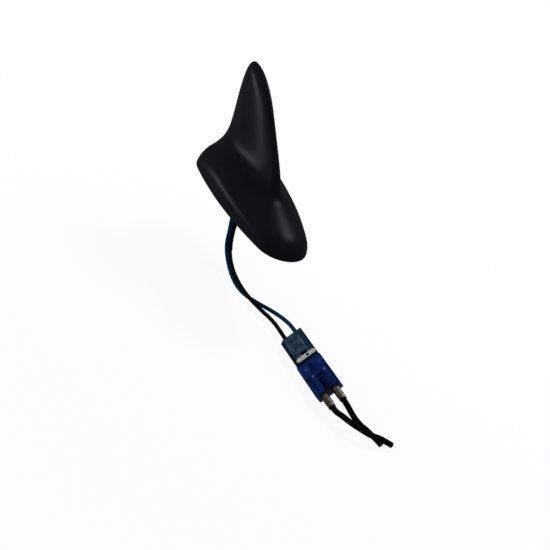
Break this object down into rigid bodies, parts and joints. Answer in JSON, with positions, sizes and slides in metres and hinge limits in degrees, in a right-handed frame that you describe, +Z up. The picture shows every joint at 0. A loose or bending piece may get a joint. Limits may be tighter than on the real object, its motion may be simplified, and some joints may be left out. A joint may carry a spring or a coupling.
{
  "type": "car roof antenna",
  "caption": "Shark-fin car roof antenna: hollow moulded fin on a cast base with a hollow stud, thin coaxial leads, mated plug and socket, cut-off harness leads",
  "frame": {"origin": "on the fixing stud's axis, in the plane of the roof's outer skin", "axes": "+X forward to the nose, +Y to the car's left, +Z up away from the roof"},
  "size_m": [0.243, 0.0723, 0.14],
  "materials": {
    "cover_plastic": "fine moulded grain, satin black",
    "cast_zinc": "as cast, dull grey",
    "seal_rubber": "matt black",
    "zinc_steel": "zinc plated",
    "board_laminate": "green lacquer",
    "patch_ceramic": "pale ceramic with a silvered face",
    "tinned_sheet": "tinned, semi bright",
    "phone_copper": "stamped copper alloy sheet",
    "foot_plastic": "moulded black",
    "blue_jacket": "blue cable jacket",
    "black_jacket": "black cable jacket",
    "smoke_plastic": "see-through smoky blue",
    "lock_plastic": "pale grey",
    "socket_plastic": "solid deep blue, satin",
    "contact_brass": "plated, turned",
    "ferrule_steel": "bright plated, slightly stained"
  },
  "bodies": {
    "root": {"fin_cover": "cover_plastic", "base_plate": "cast_zinc", "roof_gasket": "seal_rubber", "cover_screws": "zinc_steel", "main_board": "board_laminate", "board_screws": "zinc_steel", "sky_patch": "patch_ceramic", "amplifier_shield": "tinned_sheet", "phone_blade": "phone_copper", "blade_foot": "foot_plastic", "lead_grommet": "seal_rubber", "blue_lead": "blue_jacket", "black_lead": "black_jacket", "plug_housing": "smoke_plastic", "plug_lock": "lock_plastic", "plug_contact_left": "contact_brass", "plug_contact_right": "contact_brass", "socket_housing": "socket_plastic", "socket_contact_left": "contact_brass", "socket_contact_right": "contact_brass", "crimp_ferrule_left": "ferrule_steel", "crimp_ferrule_right": "ferrule_steel", "harness_lead_left": "black_jacket", "harness_lead_right": "black_jacket"}
  },
  "joints": []
}
